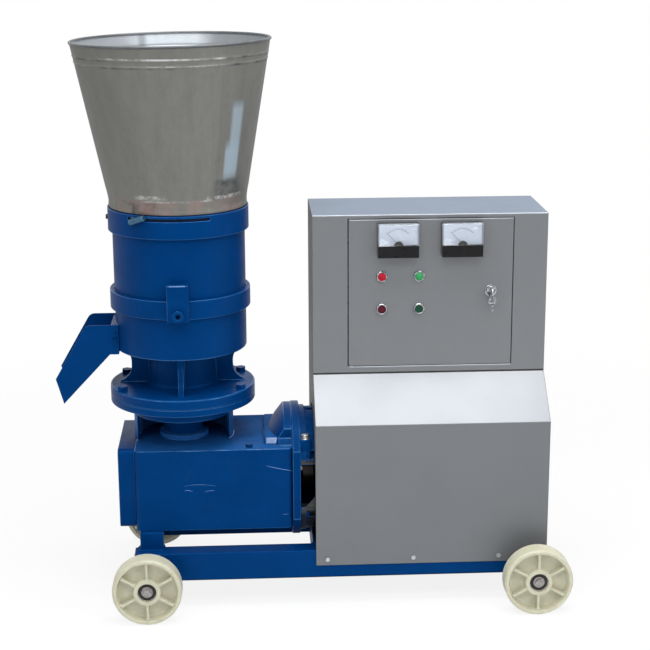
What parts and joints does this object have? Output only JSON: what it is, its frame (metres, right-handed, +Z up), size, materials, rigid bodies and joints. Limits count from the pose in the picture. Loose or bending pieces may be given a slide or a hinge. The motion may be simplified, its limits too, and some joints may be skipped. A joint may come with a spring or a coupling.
{
  "type": "pellet mill",
  "caption": "Electric flat-die pellet mill: tin hopper over a blue press body and bevel gearbox, driven by a motor in a grey cabinet with a control panel, on a wheeled frame.",
  "frame": {"origin": "on the floor under the middle of the machine's bounding box", "axes": "+Z up, +X along the base frame from the mill to the cabinet, the control panel faces -Y"},
  "size_m": [1.266, 0.561, 1.396],
  "materials": {
    "blue_enamel": "gloss",
    "grey_enamel": "satin",
    "zinc_steel": "satin",
    "machined_steel": "satin",
    "tin_sheet": "spangled",
    "black_steel": "satin",
    "black_plastic": "gloss",
    "clear_plastic": "gloss",
    "red_plastic": "gloss",
    "green_plastic": "gloss",
    "nylon": "satin",
    "chrome_trim": "polished",
    "copper_winding": "satin",
    "spider_rubber": "matt"
  },
  "bodies": {
    "frame": {"base_frame": "blue_enamel", "wheel_axles": "zinc_steel", "axle_bolts": "zinc_steel", "gearbox_housing": "blue_enamel", "gearbox_end_cover": "blue_enamel", "gearbox_bolts": "zinc_steel", "ball_bearings": "zinc_steel", "coupling_housing": "black_steel", "motor_frame": "blue_enamel", "motor_end_shields": "blue_enamel", "motor_stator": "copper_winding", "fan_cover": "blue_enamel", "terminal_box": "black_steel", "lower_barrel": "blue_enamel", "discharge_chute": "blue_enamel", "upper_barrel": "blue_enamel", "joint_ring": "blue_enamel", "axle_pockets": "blue_enamel", "adjusting_bolts": "zinc_steel", "hopper_ring": "blue_enamel", "mill_bolts": "black_steel", "motor_cover": "grey_enamel", "control_box": "grey_enamel", "mounting_plate": "zinc_steel", "contactors": "black_plastic", "cable_gland": "black_plastic", "cover_screws": "zinc_steel", "door_hinge_pins": "zinc_steel"},
    "spindle": {"main_shaft": "machined_steel", "crown_gear": "machined_steel", "throw_plate": "machined_steel", "flat_die": "machined_steel", "spindle_nut": "zinc_steel"},
    "drive": {"input_shaft": "machined_steel", "shaft_coupling": "machined_steel", "coupling_spider": "spider_rubber", "rotor": "machined_steel", "cooling_fan": "black_plastic"},
    "roller_carrier": {"roller_axle": "machined_steel"},
    "front_press_roller": {"front_roller": "machined_steel"},
    "rear_press_roller": {"rear_roller": "machined_steel"},
    "hopper_body": {"hopper": "tin_sheet", "hopper_lock_bolt": "zinc_steel"},
    "door": {"panel_door": "grey_enamel", "meter_cases": "black_plastic", "meter_windows": "clear_plastic", "lamp_bezels": "chrome_trim", "red_lamp": "red_plastic", "green_lamp": "green_plastic", "lock_cylinder": "chrome_trim"},
    "key": {"lock_key": "chrome_trim"},
    "hanging_key": {"spare_key": "chrome_trim"},
    "start": {"start_button": "green_plastic"},
    "stop": {"stop_button": "red_plastic"},
    "volt_hand": {"voltmeter_needle": "black_plastic"},
    "amp_hand": {"ammeter_needle": "black_plastic"},
    "front_left_wheel": {"wheel_front_left": "nylon"},
    "front_right_wheel": {"wheel_front_right": "nylon"},
    "rear_left_wheel": {"wheel_rear_left": "nylon"},
    "rear_right_wheel": {"wheel_rear_right": "nylon"}
  },
  "joints": [
    {"name": "front_left_wheel_roll", "type": "hinge", "parent": "frame", "child": "front_left_wheel", "pos_m": [-0.412, -0.2535, 0.085], "axis": [0, 1, 0], "continuous": true},
    {"name": "front_right_wheel_roll", "type": "hinge", "parent": "frame", "child": "front_right_wheel", "pos_m": [0.548, -0.2535, 0.085], "axis": [0, 1, 0], "continuous": true},
    {"name": "rear_left_wheel_roll", "type": "hinge", "parent": "frame", "child": "rear_left_wheel", "pos_m": [-0.412, 0.2535, 0.085], "axis": [0, 1, 0], "continuous": true},
    {"name": "rear_right_wheel_roll", "type": "hinge", "parent": "frame", "child": "rear_right_wheel", "pos_m": [0.548, 0.2535, 0.085], "axis": [0, 1, 0], "continuous": true},
    {"name": "spindle_turn", "type": "hinge", "parent": "frame", "child": "spindle", "pos_m": [-0.322, 0, 0.6], "axis": [0, 0, 1], "continuous": true},
    {"name": "drive_turn", "type": "hinge", "parent": "frame", "child": "drive", "pos_m": [0, 0, 0.303], "axis": [1, 0, 0], "continuous": true},
    {"name": "roller_axle_lift", "type": "slide", "parent": "frame", "child": "roller_carrier", "axis": [0, 0, 1], "range_m": [0, 0.006]},
    {"name": "front_roller_turn", "type": "hinge", "parent": "roller_carrier", "child": "front_press_roller", "pos_m": [-0.322, -0.091, 0.7953], "axis": [0, 1, 0], "continuous": true},
    {"name": "rear_roller_turn", "type": "hinge", "parent": "roller_carrier", "child": "rear_press_roller", "pos_m": [-0.322, 0.091, 0.7953], "axis": [0, 1, 0], "continuous": true},
    {"name": "hopper_turn", "type": "hinge", "parent": "frame", "child": "hopper_body", "pos_m": [-0.322, 0, 1], "axis": [0, 0, 1], "range_deg": [-5, 60]},
    {"name": "door_swing", "type": "hinge", "parent": "frame", "child": "door", "pos_m": [0.0975, -0.0605, 0.588], "axis": [0, 0, -1], "range_deg": [0, 95]},
    {"name": "key_turn", "type": "hinge", "parent": "door", "child": "key", "pos_m": [0.445, -0.066, 0.776], "axis": [0, 1, 0], "range_deg": [0, 90]},
    {"name": "spare_key_swing", "type": "hinge", "parent": "key", "child": "hanging_key", "pos_m": [0.445, -0.0943, 0.776], "axis": [1, 0, 0], "range_deg": [-60, 15]},
    {"name": "start_push", "type": "slide", "parent": "door", "child": "start", "axis": [0, 1, 0], "range_m": [0, 0.004], "stiffness_N_per_m": 600},
    {"name": "stop_push", "type": "slide", "parent": "door", "child": "stop", "axis": [0, 1, 0], "range_m": [0, 0.004], "stiffness_N_per_m": 600},
    {"name": "voltmeter_needle_swing", "type": "hinge", "parent": "door", "child": "volt_hand", "pos_m": [0.2135, -0.086, 0.89938], "axis": [0, 1, 0], "range_deg": [0, 90], "stiffness_Nm_per_rad": 0.002},
    {"name": "ammeter_needle_swing", "type": "hinge", "parent": "door", "child": "amp_hand", "pos_m": [0.3705, -0.086, 0.89938], "axis": [0, 1, 0], "range_deg": [0, 90], "stiffness_Nm_per_rad": 0.002}
  ],
  "couplings": [
    {"joint": "drive_turn", "follows": "spindle_turn", "ratio": 3},
    {"joint": "front_roller_turn", "follows": "spindle_turn", "ratio": -1.75},
    {"joint": "rear_roller_turn", "follows": "spindle_turn", "ratio": 1.75}
  ]
}
